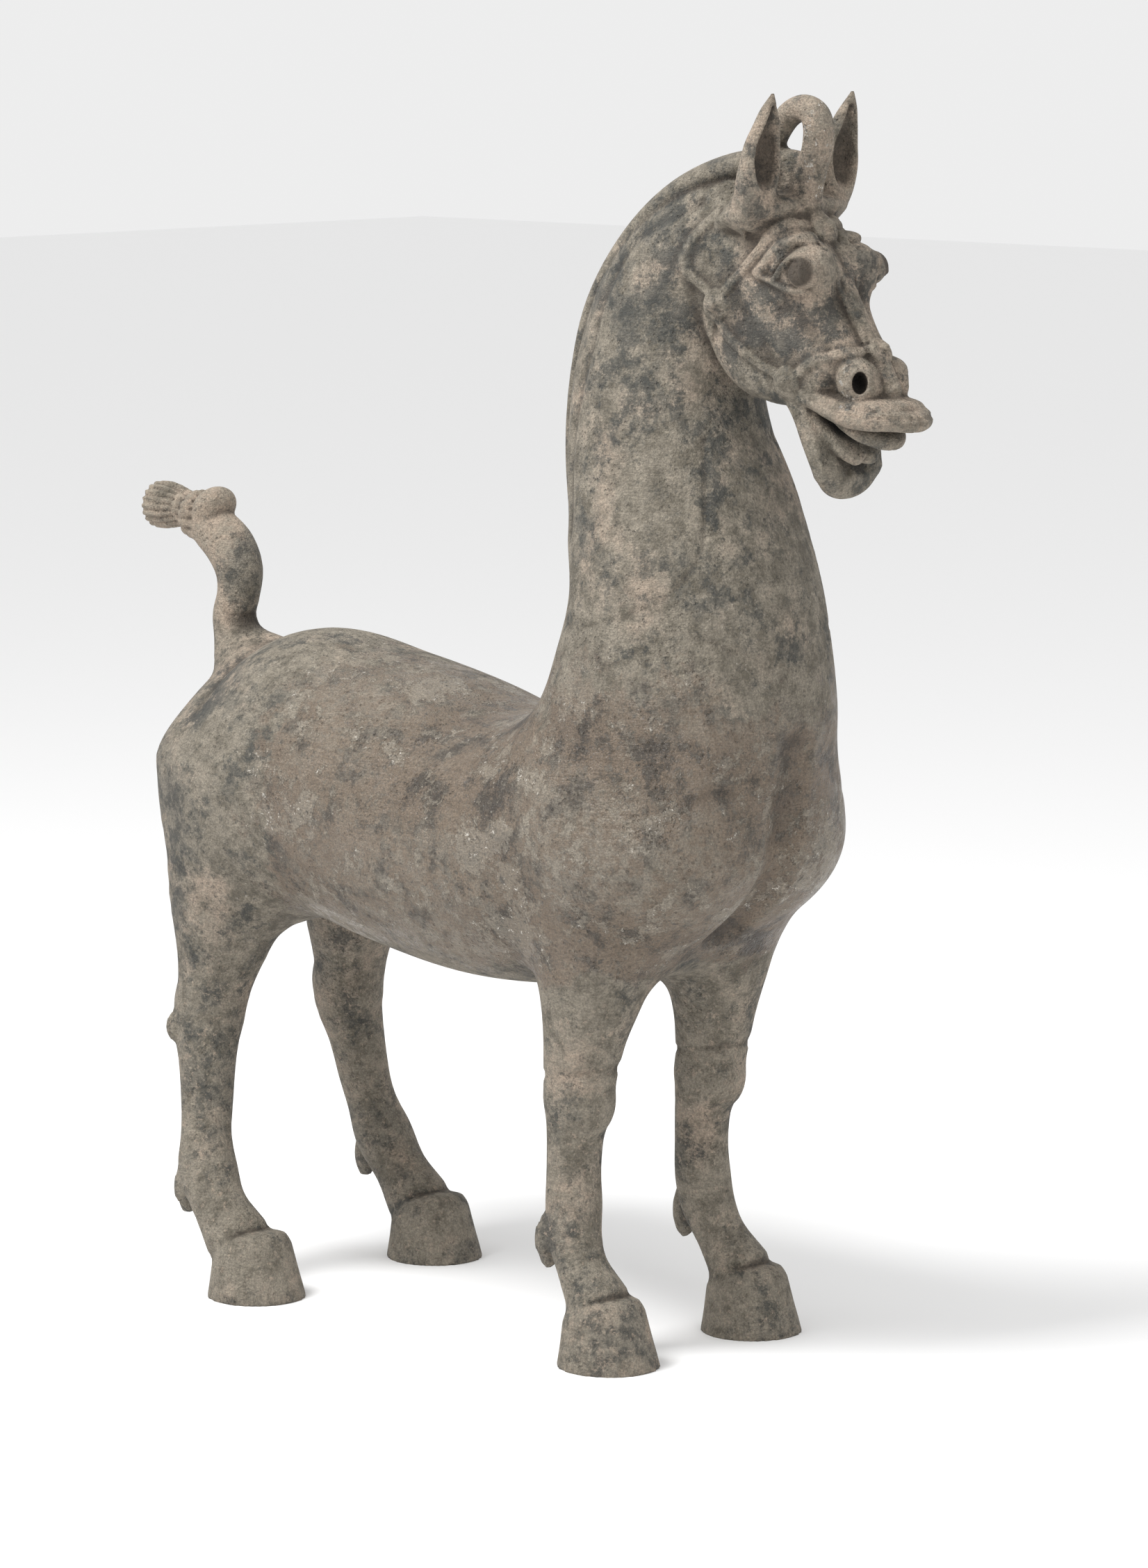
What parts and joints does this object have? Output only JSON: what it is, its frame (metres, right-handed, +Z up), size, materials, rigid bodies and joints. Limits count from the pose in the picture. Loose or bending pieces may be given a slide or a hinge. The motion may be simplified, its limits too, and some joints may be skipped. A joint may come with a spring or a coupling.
{
  "type": "painted pottery horse figure",
  "caption": "Standing pottery horse with a high arched neck, pricked ears, a looped forelock, an open mouth with a flared upper lip, a bridle in relief and a raised, bound tail.",
  "frame": {"origin": "centre of the footprint box on the ground, at the soles of the hooves", "axes": "+X the way the horse faces, +Y to its left, +Z up"},
  "size_m": [0.983, 0.3338, 1.15],
  "materials": {
    "fired_clay": "unglazed fired clay, dry and matt, grey-brown with tan and charcoal mottling and worn patches of darker paint"
  },
  "bodies": {
    "root": {"horse": "fired_clay"}
  },
  "joints": []
}
